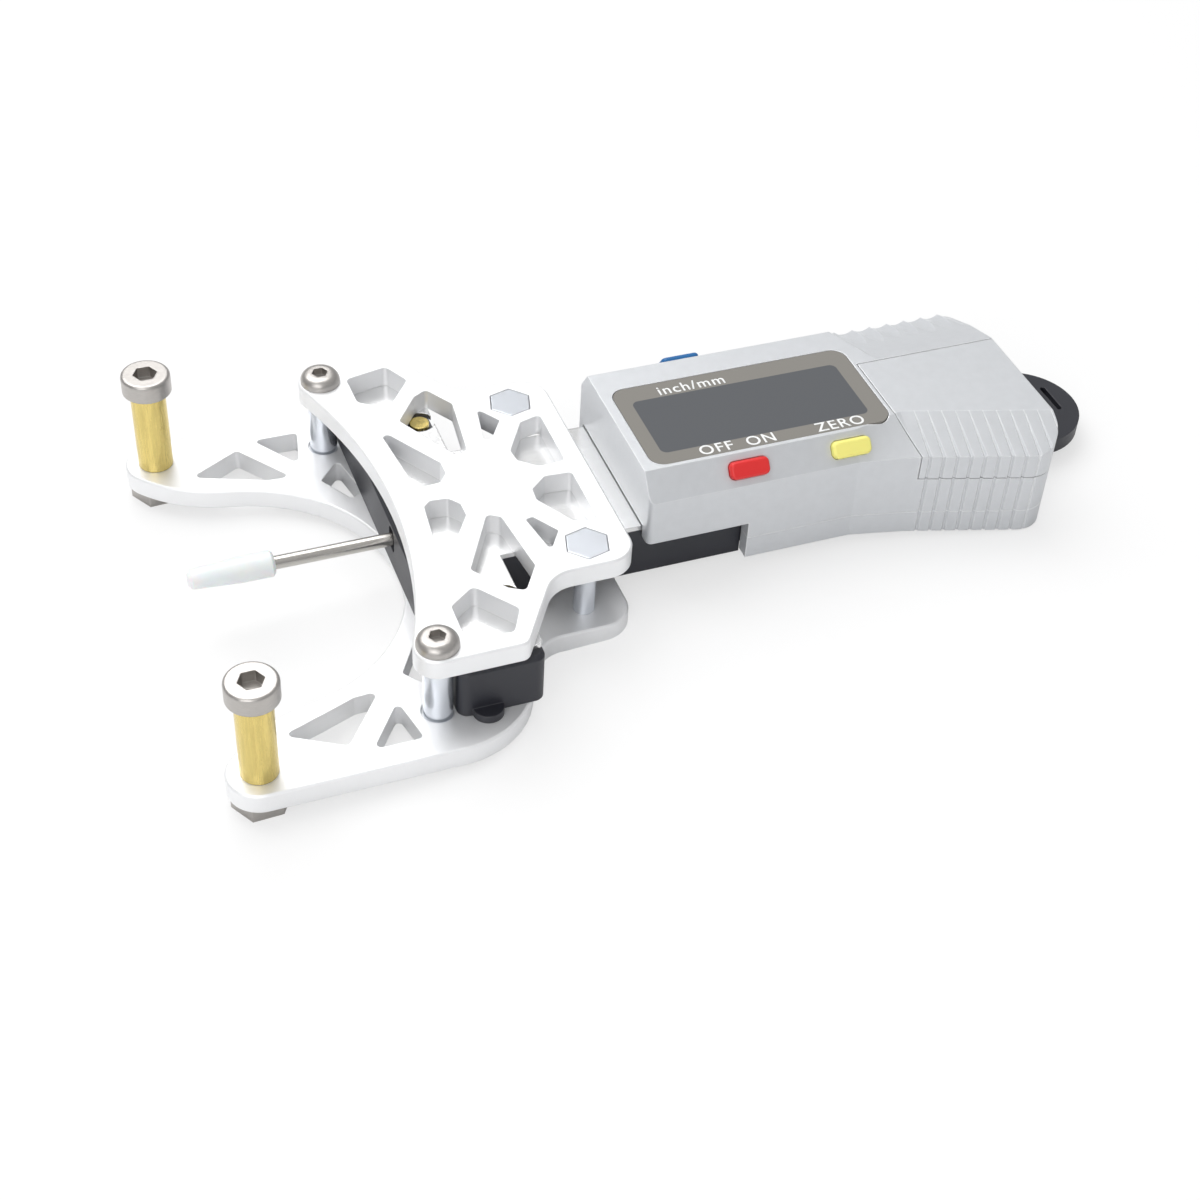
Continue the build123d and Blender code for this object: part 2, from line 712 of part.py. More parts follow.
with BuildPart() as display_housing:
    add(unit_form.part)
    split(bisect_by=Plane.XY.offset(seam_height), keep=Keep.TOP)
    # Front overhang above the neck
    with BuildSketch(Plane.XY.offset(seam_height)):
        with Locations(((unit_front_x + notch_x) / 2, 0)):
            Rectangle(notch_x - unit_front_x, 3 * side_y)
    extrude(amount=skirt_bottom - seam_height, mode=Mode.SUBTRACT)
    with BuildSketch(Plane.XY.offset(seam_height)):
        with Locations(((unit_front_x + channel_front_x) / 2, 0)):
            Rectangle(channel_front_x - unit_front_x, 2 * neck_channel_half)
    extrude(amount=pcb_bottom - seam_height, mode=Mode.SUBTRACT)
    # Hollow behind the window, open below
    with BuildSketch(Plane.YZ.offset(cavity_front_x)):
        with BuildLine():
            Polyline(
                (-cavity_half, pcb_bottom - shell_fit),
                (-cavity_half, inner_facet_z(cavity_half, wall)),
                (-inner_facet_y(cavity_top, wall), cavity_top),
                (inner_facet_y(cavity_top, wall), cavity_top),
                (cavity_half, inner_facet_z(cavity_half, wall)),
                (cavity_half, pcb_bottom - shell_fit),
                close=True,
            )
        make_face()
    extrude(amount=cavity_rear_x - cavity_front_x, mode=Mode.SUBTRACT)
    with BuildSketch(Plane.XY.offset(seam_height)):
        with Locations(((channel_front_x + cavity_rear_x) / 2, 0)):
            Rectangle(cavity_rear_x - channel_front_x, 2 * cavity_half)
    extrude(amount=pcb_bottom - seam_height, mode=Mode.SUBTRACT)
    # Posts that hold the circuit board down
    for sign in sides.values():
        with BuildSketch(Plane.XY.offset(pcb_top)):
            with Locations(
                (cavity_front_x + 5, sign * (cavity_half - 0.5)),
                (window_x + 4, sign * (cavity_half - 0.5)),
            ):
                Rectangle(2, 2)
        extrude(amount=inner_facet_z(cavity_half, wall) - pcb_top)
    # Channels for the rail and the land behind the hollow
    with BuildSketch(Plane.XY.offset(seam_height)):
        with Locations(((cavity_rear_x + unit_rear_x) / 2, 0)):
            Rectangle(unit_rear_x - cavity_rear_x + wall, 2 * channel_half)
    extrude(amount=channel_top - seam_height, mode=Mode.SUBTRACT)
    with BuildSketch(Plane.XY.offset(seam_height)):
        with Locations(((cavity_rear_x + land_end_x) / 2, 0)):
            Rectangle(land_end_x - cavity_rear_x + 2 * stop_gap, 2 * land_channel_half)
    extrude(amount=pcb_bottom - seam_height, mode=Mode.SUBTRACT)
    # Seat of the window and the opening below it
    with BuildSketch(Plane.XY.offset(unit_top)):
        with Locations((window_x, window_y)):
            RectangleRounded(
                frame_length + 2 * button_gap, frame_width + 2 * button_gap, frame_radius
            )
    extrude(amount=-lens_thickness - lens_step, mode=Mode.SUBTRACT)
    with BuildSketch(Plane.XY.offset(cavity_top)):
        with Locations((window_x, view_y)):
            Rectangle(view_length + 1, view_width + 0.6)
    extrude(amount=top_wall, mode=Mode.SUBTRACT)
    # Button holes with room for the flanges behind them
    for x, sign in buttons.values():
        with BuildSketch(facet_plane(x, sign, wall + 0.1)):
            RectangleRounded(button_length + 2 * button_gap, button_width + 2 * button_gap, 0.9)
        extrude(amount=2 * wall, mode=Mode.SUBTRACT)
        with BuildSketch(facet_plane(x, sign, wall)):
            Rectangle(
                button_length + 2 * flange_rim + 2 * button_gap,
                button_width + 2 * flange_rim + 2 * button_gap,
            )
        extrude(amount=-flange_thickness - button_travel - 3 * running_clearance, mode=Mode.SUBTRACT)
    # Room for the battery cover, the battery pocket and the notch for the side contact
    add(cover_zone(0) - cover_core(0), mode=Mode.SUBTRACT)
    with BuildSketch(Plane.XY.offset(battery_floor)):
        with Locations((battery_x, battery_y)):
            Circle(pocket_radius)
        with Locations((side_contact_x, battery_y)):
            Rectangle(2.4, 3.6)
    extrude(amount=unit_top - battery_floor, mode=Mode.SUBTRACT)
    # Holes for the screws from below
    with BuildSketch(Plane.XY.offset(seam_height)):
        with Locations((screw_rear_x, screw_y), (screw_rear_x, -screw_y)):
            Circle(housing_screw_radius)
    extrude(amount=screw_reach, mode=Mode.SUBTRACT)
save(display_housing.part, "display_housing")

with BuildPart() as housing_back:
    add(unit_form.part)
    split(bisect_by=Plane.XY.offset(seam_height), keep=Keep.BOTTOM)
    with BuildSketch(Plane.XY.offset(unit_bottom)):
        with Locations(((unit_front_x + notch_x) / 2, 0)):
            Rectangle(notch_x - unit_front_x, 3 * side_y)
        with Locations(((unit_front_x + channel_front_x) / 2, 0)):
            Rectangle(channel_front_x - unit_front_x, 2 * neck_channel_half)
    extrude(amount=seam_height - unit_bottom, mode=Mode.SUBTRACT)
    # Guide block inside the upper shell, which also carries the circuit board
    with BuildSketch(Plane.XY.offset(seam_height)):
        with Locations(((channel_front_x + cavity_rear_x - 0.2) / 2, 0)):
            Rectangle(cavity_rear_x - channel_front_x - 0.2, 2 * block_half)
    extrude(amount=pcb_bottom - seam_height)
    # Channel for the rail, with a relief between the two runners below it
    with BuildSketch(Plane.XY.offset(rail_bottom - running_clearance)):
        with Locations(((channel_front_x + unit_rear_x) / 2, 0)):
            Rectangle(unit_rear_x - channel_front_x + wall, 2 * channel_half)
    extrude(amount=channel_top - rail_bottom + running_clearance, mode=Mode.SUBTRACT)
    with BuildSketch(Plane.XY.offset(unit_bottom + wall)):
        with Locations(((channel_front_x + unit_rear_x) / 2, 0)):
            Rectangle(unit_rear_x - channel_front_x - 2 * wall, 2 * land_half_width)
    extrude(amount=pcb_bottom - unit_bottom, mode=Mode.SUBTRACT)
    with BuildSketch(Plane.XY.offset(channel_top)):
        with Locations(((channel_front_x + cavity_rear_x) / 2, 0)):
            Rectangle(cavity_rear_x - channel_front_x + 1, 2 * land_channel_half)
    extrude(amount=pcb_bottom - channel_top, mode=Mode.SUBTRACT)
    # Pocket of the leaf spring beside the rail
    with BuildSketch(Plane.XY.offset(rail_bottom - running_clearance)):
        with Locations(((spring_front_x + spring_rear_x) / 2, channel_half)):
            Rectangle(spring_rear_x - spring_front_x + 1, 2 * spring_pocket)
    extrude(amount=channel_top - rail_bottom + running_clearance, mode=Mode.SUBTRACT)
    # Post with the bore that clamps the rod
    with BuildSketch(Plane.XY.offset(unit_bottom)):
        with Locations(((clamp_front_x + clamp_rear_x) / 2, 0)):
            SlotOverall(clamp_rear_x - clamp_front_x, 2 * clamp_half_width)
    extrude(amount=clamp_top - unit_bottom)
    with BuildSketch(Plane.YZ.offset(clamp_front_x)):
        with Locations((0, rod_height)):
            Circle(rod_radius)
    extrude(amount=rod_end_x - clamp_front_x, mode=Mode.SUBTRACT)
    with BuildSketch(Plane.XY.offset(clamp_top)):
        with Locations(((clamp_front_x + clamp_rear_x) / 2, 0)):
            Circle(grub_radius)
    extrude(amount=rod_height - clamp_top, mode=Mode.SUBTRACT)
    # Countersunk holes of the screws from below
    with BuildSketch(Plane.XY.offset(unit_bottom)):
        with Locations((screw_rear_x, screw_y), (screw_rear_x, -screw_y)):
            Circle(housing_screw_radius)
    extrude(amount=seam_height - unit_bottom, mode=Mode.SUBTRACT)
    with BuildSketch(Plane.XY.offset(unit_bottom)):
        with Locations((screw_rear_x, screw_y), (screw_rear_x, -screw_y)):
            Circle(housing_screw_head)
    extrude(amount=screw_head_depth, mode=Mode.SUBTRACT)
save(housing_back.part, "housing_back")

# Two screws from below join the shells at the rear
for side, sign in sides.items():
    centre = (screw_rear_x, sign * screw_y)
    with BuildPart() as housing_screw:
        with BuildSketch(Plane.XY.offset(unit_bottom + screw_inset)):
            with Locations(centre):
                Circle(housing_screw_head)
        extrude(amount=screw_head_depth - screw_inset)
        with BuildSketch(Plane.XY.offset(unit_bottom + screw_head_depth)):
            with Locations(centre):
                Circle(housing_screw_radius)
        extrude(amount=seam_height + screw_reach - unit_bottom - screw_head_depth)
    save(housing_screw.part, f"housing_screw_{side}")

# Window with its printed border, flush in the upper shell
with BuildPart() as display_lens:
    with BuildSketch(Plane.XY.offset(unit_top - lens_step - lens_thickness)):
        with Locations((window_x, window_y)):
            RectangleRounded(frame_length, frame_width, frame_radius)
    extrude(amount=lens_thickness)
save(display_lens.part, "display_lens")

# Liquid crystal display below the window, on two rubber connector strips
lcd_bottom = cavity_top - lcd_thickness
with BuildPart() as lcd_panel:
    with BuildSketch(Plane.XY.offset(lcd_bottom)):
        with Locations((window_x, view_y)):
            Rectangle(lcd_length, lcd_width)
    extrude(amount=lcd_thickness)
save(lcd_panel.part, "lcd_panel")

for side, sign in sides.items():
    with BuildPart() as lcd_connector:
        with BuildSketch(Plane.XY.offset(pcb_top)):
            with Locations((window_x, view_y + sign * (lcd_width / 2 - connector_width))):
                Rectangle(lcd_length - 2 * connector_width, connector_width)
        extrude(amount=lcd_bottom - pcb_top)
    save(lcd_connector.part, f"lcd_connector_{side}")

# Circuit board, which reads the scale below it
with BuildPart() as circuit_board:
    with BuildSketch(Plane.XY.offset(pcb_bottom)):
        with Locations(((cavity_front_x + cavity_rear_x) / 2, 0)):
            RectangleRounded(cavity_rear_x - cavity_front_x - 0.4, 2 * block_half, 1.0)
    extrude(amount=pcb_thickness)
save(circuit_board.part, "circuit_board")

# Sprung buttons in the steep facets, each over a small switch on the circuit board
for name, (x, sign) in buttons.items():
    with BuildPart() as button:
        with BuildSketch(facet_plane(x, sign, wall + running_clearance)):
            RectangleRounded(button_length, button_width, 0.8)
        extrude(amount=wall + running_clearance + button_proud)
        crown = button.faces().sort_by(Axis((0, 0, 0), facet_plane(x, sign, 0).z_dir))[-1]
        fillet(crown.edges(), 0.45)
        with BuildSketch(facet_plane(x, sign, wall + running_clearance)):
            Rectangle(button_length + 2 * flange_rim, button_width + 2 * flange_rim)
        extrude(amount=-flange_thickness)
    save(button.part, f"button_{name}")

    switch_face = facet_plane(
        x, sign, wall + 2 * running_clearance + flange_thickness + button_travel
    )
    face_up = Vector(0, -sign * sin(facet_angle), cos(facet_angle)) * (0.35 * button_width)
    upper_corner = switch_face.origin + face_up
    lower_corner = switch_face.origin - face_up
    with BuildPart() as switch:
        with BuildSketch(Plane.YZ.offset(x - switch_length / 2)):
            with BuildLine():
                Polyline(
                    (upper_corner.Y, upper_corner.Z),
                    (lower_corner.Y, lower_corner.Z),
                    (lower_corner.Y, pcb_top),
                    (upper_corner.Y, pcb_top),
                    close=True,
                )
            make_face()
        extrude(amount=switch_length)
    save(switch.part, f"switch_{name}")

# Battery in its pocket, with a flat contact below and an angled one at its side
with BuildPart() as contact_lower:
    with BuildSketch(Plane.XY.offset(battery_floor)):
        with Locations((battery_x, battery_y)):
            Circle(0.7 * battery_radius)
    extrude(amount=contact_thickness)
save(contact_lower.part, "contact_lower")

with BuildPart() as battery:
    with BuildSketch(Plane.XY.offset(battery_floor + contact_thickness)):
        with Locations((battery_x, battery_y)):
            Circle(battery_radius)
    extrude(amount=battery_height)
    fillet(battery.edges().filter_by(GeomType.CIRCLE), 0.4)
save(battery.part, "battery")

with BuildPart() as contact_side:
    with BuildSketch(Plane.XZ.offset(-battery_y + contact_width / 2)):
        with BuildLine():
            Polyline(
                (side_contact_x - contact_foot, battery_floor),
                (side_contact_x + contact_thickness, battery_floor),
                (side_contact_x + contact_thickness, battery_floor + battery_height),
                (side_contact_x, battery_floor + battery_height),
                (side_contact_x, battery_floor + contact_thickness),
                (side_contact_x - contact_foot, battery_floor + contact_thickness),
                close=True,
            )
        make_face()
    extrude(amount=-contact_width)
save(contact_side.part, "contact_side")

with BuildPart() as battery_cover:
    add(unit_form.part)
    add(cover_zone(cover_gap), mode=Mode.INTERSECT)
    add(cover_core(running_clearance), mode=Mode.SUBTRACT)
save(battery_cover.part, "battery_cover")

# Leaf spring that takes up the play beside the rail
spring_mid_x = (spring_front_x + spring_rear_x) / 2
spring_mid_y = rail_half_width + running_clearance
spring_end_y = channel_half + spring_pocket - spring_thickness
with BuildPart() as gib_spring:
    with BuildSketch(Plane.XY.offset(rail_bottom)):
        with BuildLine():
            rail_arc = ThreePointArc(
                (spring_front_x, spring_end_y),
                (spring_mid_x, spring_mid_y),
                (spring_rear_x, spring_end_y),
            )
            wall_arc = ThreePointArc(
                (spring_front_x, spring_end_y + spring_thickness),
                (spring_mid_x, spring_mid_y + spring_thickness),
                (spring_rear_x, spring_end_y + spring_thickness),
            )
            Line(rail_arc @ 0, wall_arc @ 0)
            Line(rail_arc @ 1, wall_arc @ 1)
        make_face()
    extrude(amount=rail_thickness)
save(gib_spring.part, "gib_spring")

# Steel rod, its clamping screw and its soft tip
with BuildPart() as measuring_rod:
    with BuildSketch(Plane.YZ.offset(tip_front_x + tip_length - tip_depth)):
        with Locations((0, rod_height)):
            Circle(rod_radius)
    extrude(amount=rod_end_x - tip_front_x - tip_length + tip_depth)
save(measuring_rod.part, "measuring_rod")

with BuildPart() as rod_clamp_screw:
    with BuildSketch(Plane.XY.offset(rod_height + rod_radius)):
        with Locations(((clamp_front_x + clamp_rear_x) / 2, 0)):
            Circle(grub_radius)
    extrude(amount=clamp_top - rod_height - rod_radius)
    with BuildSketch(Plane.XY.offset(clamp_top)):
        with Locations(((clamp_front_x + clamp_rear_x) / 2, 0)):
            Rectangle(2 * grub_radius, grub_radius / 3)
    extrude(amount=-grub_radius / 2, mode=Mode.SUBTRACT)
save(rod_clamp_screw.part, "rod_clamp_screw")

with BuildPart() as rod_tip:
    with BuildSketch(Plane.XZ):
        with BuildLine():
            Polyline(
                (tip_front_x, rod_height),
                (tip_front_x, rod_height + tip_nose_radius - 0.5),
                (tip_front_x + 0.5, rod_height + tip_nose_radius),
                (tip_front_x + tip_length - 4.5, rod_height + tip_radius),
                (tip_front_x + tip_length - 0.4, rod_height + tip_radius),
                (tip_front_x + tip_length, rod_height + tip_radius - 0.4),
                (tip_front_x + tip_length, rod_height),
                close=True,
            )
        make_face()
    revolve(axis=Axis((0, 0, rod_height), (1, 0, 0)))
    with BuildSketch(Plane.YZ.offset(tip_front_x + tip_length)):
        with Locations((0, rod_height)):
            Circle(rod_radius)
    extrude(amount=-tip_depth, mode=Mode.SUBTRACT)
save(rod_tip.part, "rod_tip")
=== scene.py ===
"""Belt tension gauge: finishes, lettering, stage, light and camera around the fixed frame."""
import math

import bpy
from mathutils import Matrix, Vector


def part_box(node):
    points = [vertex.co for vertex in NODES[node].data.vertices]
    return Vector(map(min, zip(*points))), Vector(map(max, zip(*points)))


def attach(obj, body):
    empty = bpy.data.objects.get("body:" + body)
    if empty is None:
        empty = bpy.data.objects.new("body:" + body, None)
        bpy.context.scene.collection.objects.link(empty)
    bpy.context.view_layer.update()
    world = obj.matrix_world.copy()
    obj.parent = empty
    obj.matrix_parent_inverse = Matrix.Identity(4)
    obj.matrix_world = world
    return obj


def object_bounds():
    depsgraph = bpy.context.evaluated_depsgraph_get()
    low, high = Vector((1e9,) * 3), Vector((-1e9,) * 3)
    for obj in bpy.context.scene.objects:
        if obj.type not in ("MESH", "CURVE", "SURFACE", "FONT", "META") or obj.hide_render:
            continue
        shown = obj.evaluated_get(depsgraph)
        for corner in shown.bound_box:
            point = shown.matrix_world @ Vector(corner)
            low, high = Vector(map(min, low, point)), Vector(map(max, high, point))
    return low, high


bl_info = {
    "name": "Belt Tension Gauge",
    "version": (1, 0, 0),
    "blender": (4, 5, 0),
    "location": "View3D > Sidebar > Gauge",
    "description": "Dresses the belt tension gauge and sets its stage, light and camera",
    "category": "Add Mesh",
}

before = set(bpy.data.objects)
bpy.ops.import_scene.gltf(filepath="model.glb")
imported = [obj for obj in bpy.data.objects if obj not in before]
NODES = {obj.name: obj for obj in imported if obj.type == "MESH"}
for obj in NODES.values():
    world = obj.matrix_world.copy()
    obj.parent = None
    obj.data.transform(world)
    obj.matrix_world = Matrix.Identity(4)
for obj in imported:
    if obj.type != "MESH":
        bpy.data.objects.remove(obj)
CAD_LOW, CAD_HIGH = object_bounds()
MM = 0.001

# Boxes of the pieces that the lettering and the floor are placed by
LENS_LOW, LENS_HIGH = (Vector(corner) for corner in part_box("display_lens"))
LCD_LOW, LCD_HIGH = (Vector(corner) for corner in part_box("lcd_panel"))
COVER_LOW, COVER_HIGH = (Vector(corner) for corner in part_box("battery_cover"))
BACK_LOW, BACK_HIGH = (Vector(corner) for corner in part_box("housing_back"))
NUT_LOW, NUT_HIGH = (Vector(corner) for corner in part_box("roller_nut_far"))


class GaugeFinishSettings(bpy.types.PropertyGroup):
    """Colours and surface sizes of the gauge's pieces"""

    plate_colour: bpy.props.FloatVectorProperty(
        name="Plate colour",
        description="Blasted aluminium of the two plates",
        subtype="COLOR",
        size=4,
        min=0.0,
        max=1.0,
        default=(0.86, 0.865, 0.875, 1.0),
    )
    lacquer_colour: bpy.props.FloatVectorProperty(
        name="Lacquer colour",
        description="Silver lacquer of the display unit",
        subtype="COLOR",
        size=4,
        min=0.0,
        max=1.0,
        default=(0.60, 0.615, 0.635, 1.0),
    )
    border_colour: bpy.props.FloatVectorProperty(
        name="Border colour",
        description="Printed border of the window",
        subtype="COLOR",
        size=4,
        min=0.0,
        max=1.0,
        default=(0.205, 0.195, 0.175, 1.0),
    )
    view_colour: bpy.props.FloatVectorProperty(
        name="Display colour",
        description="Blank display seen through the window",
        subtype="COLOR",
        size=4,
        min=0.0,
        max=1.0,
        default=(0.075, 0.08, 0.088, 1.0),
    )
    edge_radius: bpy.props.FloatProperty(
        name="Edge radius",
        description="How far the light rounds the machined edges",
        subtype="DISTANCE",
        unit="LENGTH",
        min=0.0,
        max=0.001,
        default=0.00022,
    )
    letter_height: bpy.props.FloatProperty(
        name="Letter height",
        description="Height of the white words on the window's border",
        subtype="DISTANCE",
        unit="LENGTH",
        min=0.0005,
        max=0.004,
        default=0.0019,
    )


class GaugeStageSettings(bpy.types.PropertyGroup):
    """Sizes and strengths of the stage"""

    floor_size: bpy.props.FloatProperty(
        name="Floor size",
        description="Width of the pale floor",
        subtype="DISTANCE",
        unit="LENGTH",
        min=0.5,
        max=10.0,
        default=4.0,
    )
    key_power: bpy.props.FloatProperty(
        name="Key light",
        description="Power of the large soft lamp above the gauge",
        subtype="POWER",
        unit="POWER",
        min=0.0,
        max=50.0,
        default=2.6,
    )
    fill_power: bpy.props.FloatProperty(
        name="Fill light",
        description="Power of the soft lamp in front of the gauge",
        subtype="POWER",
        unit="POWER",
        min=0.0,
        max=50.0,
        default=1.2,
    )
    world_strength: bpy.props.FloatProperty(
        name="World strength",
        description="Strength of the pale surroundings that light the gauge",
        min=0.0,
        max=2.0,
        default=0.62,
    )


# Shader building


def node_at(tree, kind, place, **values):
    """Adds a node at a place in the tree and sets its values or sockets"""
    made = tree.nodes.new(kind)
    made.location = place
    for name, value in values.items():
        if hasattr(made, name):
            setattr(made, name, value)
        else:
            made.inputs[name.replace("_", " ").title()].default_value = value
    return made


def new_group(name, inputs, outputs):
    """Makes an empty shader group with named sockets, given as name: (socket type, default)"""
    group = bpy.data.node_groups.new(name, "ShaderNodeTree")
    for socket_name, (kind, default) in inputs.items():
        socket = group.interface.new_socket(name=socket_name, in_out="INPUT", socket_type=kind)
        if default is not None:
            socket.default_value = default
    for socket_name, kind in outputs.items():
        group.interface.new_socket(name=socket_name, in_out="OUTPUT", socket_type=kind)
    entry = node_at(group, "NodeGroupInput", (-900, 0))
    leave = node_at(group, "NodeGroupOutput", (700, 0))
    return group, entry, leave


def surface_grain_group():
    """Fine grain in two sizes: a height for bump and a slow tone that varies over the surface"""
    group, entry, leave = new_group(
        "Surface Grain",
        {
            "Grain Scale": ("NodeSocketFloat", 4000.0),
            "Tone Scale": ("NodeSocketFloat", 60.0),
            "Contrast": ("NodeSocketFloat", 0.1),
        },
        {"Height": "NodeSocketFloat", "Tone": "NodeSocketFloat"},
    )
    where = node_at(group, "ShaderNodeTexCoord", (-700, -200))
    grain = node_at(group, "ShaderNodeTexNoise", (-450, 150), Detail=3.0, Roughness=0.65)
    tone = node_at(group, "ShaderNodeTexNoise", (-450, -150), Detail=4.0, Roughness=0.55)
    spread = node_at(group, "ShaderNodeMath", (-200, -150), operation="SUBTRACT")
    spread.inputs[1].default_value = 0.5
    scaled = node_at(group, "ShaderNodeMath", (0, -150), operation="MULTIPLY")
    centred = node_at(group, "ShaderNodeMath", (200, -150), operation="ADD")
    centred.inputs[1].default_value = 1.0
    link = group.links.new
    link(where.outputs["Object"], grain.inputs["Vector"])
    link(where.outputs["Object"], tone.inputs["Vector"])
    link(entry.outputs["Grain Scale"], grain.inputs["Scale"])
    link(entry.outputs["Tone Scale"], tone.inputs["Scale"])
    link(tone.outputs["Fac"], spread.inputs[0])
    link(spread.outputs[0], scaled.inputs[0])
    link(entry.outputs["Contrast"], scaled.inputs[1])
    link(scaled.outputs[0], centred.inputs[0])
    link(grain.outputs["Fac"], leave.inputs["Height"])
    link(centred.outputs[0], leave.inputs["Tone"])
    return group


def drawn_streaks_group():
    """Long fine streaks, stretched along one axis, as drawing, turning or rubbing leaves them"""
    group, entry, leave = new_group(
        "Drawn Streaks",
        {
            "Stretch": ("NodeSocketVector", (1.0, 1.0, 0.05)),
            "Scale": ("NodeSocketFloat", 1500.0),
            "Contrast": ("NodeSocketFloat", 0.3),
        },
        {"Height": "NodeSocketFloat", "Tone": "NodeSocketFloat"},
    )
    where = node_at(group, "ShaderNodeTexCoord", (-850, -200))
    pulled = node_at(group, "ShaderNodeVectorMath", (-650, -100), operation="MULTIPLY")
    streak = node_at(group, "ShaderNodeTexNoise", (-450, 0), Detail=5.0, Roughness=0.7)
    spread = node_at(group, "ShaderNodeMath", (-200, -150), operation="SUBTRACT")
    spread.inputs[1].default_value = 0.5
    scaled = node_at(group, "ShaderNodeMath", (0, -150), operation="MULTIPLY")
    centred = node_at(group, "ShaderNodeMath", (200, -150), operation="ADD")
    centred.inputs[1].default_value = 1.0
    link = group.links.new
    link(where.outputs["Object"], pulled.inputs[0])
    link(entry.outputs["Stretch"], pulled.inputs[1])
    link(pulled.outputs[0], streak.inputs["Vector"])
    link(entry.outputs["Scale"], streak.inputs["Scale"])
    link(streak.outputs["Fac"], spread.inputs[0])
    link(spread.outputs[0], scaled.inputs[0])
    link(entry.outputs["Contrast"], scaled.inputs[1])
    link(scaled.outputs[0], centred.inputs[0])
    link(streak.outputs["Fac"], leave.inputs["Height"])
    link(centred.outputs[0], leave.inputs["Tone"])
    return group


def painted_edge_highlight_group():
    """Mask that is 1 on rounded-over edges, broken up by grain: a painted edge highlight that lightens
    the colour there
    """
    group, entry, leave = new_group(
        "Painted Edge Highlight",
        {
            "Radius": ("NodeSocketFloat", 0.0004),
            "Amount": ("NodeSocketFloat", 0.5),
            "Breakup": ("NodeSocketFloat", 300.0),
        },
        {"Mask": "NodeSocketFloat"},
    )
    rounded = node_at(group, "ShaderNodeBevel", (-600, 100), samples=6)
    flat = node_at(group, "ShaderNodeNewGeometry", (-600, -100))
    turn = node_at(group, "ShaderNodeVectorMath", (-400, 0), operation="DOT_PRODUCT")
    away = node_at(group, "ShaderNodeMath", (-200, 0), operation="SUBTRACT")
    away.inputs[0].default_value = 1.0
    stronger = node_at(group, "ShaderNodeMath", (0, 0), operation="MULTIPLY")
    stronger.inputs[1].default_value = 9.0
    where = node_at(group, "ShaderNodeTexCoord", (-600, -350))
    patches = node_at(group, "ShaderNodeTexNoise", (-400, -350), Detail=4.0, Roughness=0.6)
    patchy = node_at(group, "ShaderNodeMath", (200, -50), operation="MULTIPLY")
    amount = node_at(group, "ShaderNodeMath", (400, 0), operation="MULTIPLY", use_clamp=True)
    link = group.links.new
    link(entry.outputs["Radius"], rounded.inputs["Radius"])
    link(rounded.outputs[0], turn.inputs[0])
    link(flat.outputs["True Normal"], turn.inputs[1])
    link(turn.outputs["Value"], away.inputs[1])
    link(away.outputs[0], stronger.inputs[0])
    link(where.outputs["Object"], patches.inputs["Vector"])
    link(entry.outputs["Breakup"], patches.inputs["Scale"])
    link(stronger.outputs[0], patchy.inputs[0])
    link(patches.outputs["Fac"], patchy.inputs[1])
    link(patchy.outputs[0], amount.inputs[0])
    link(entry.outputs["Amount"], amount.inputs[1])
    link(amount.outputs[0], leave.inputs["Mask"])
    return group


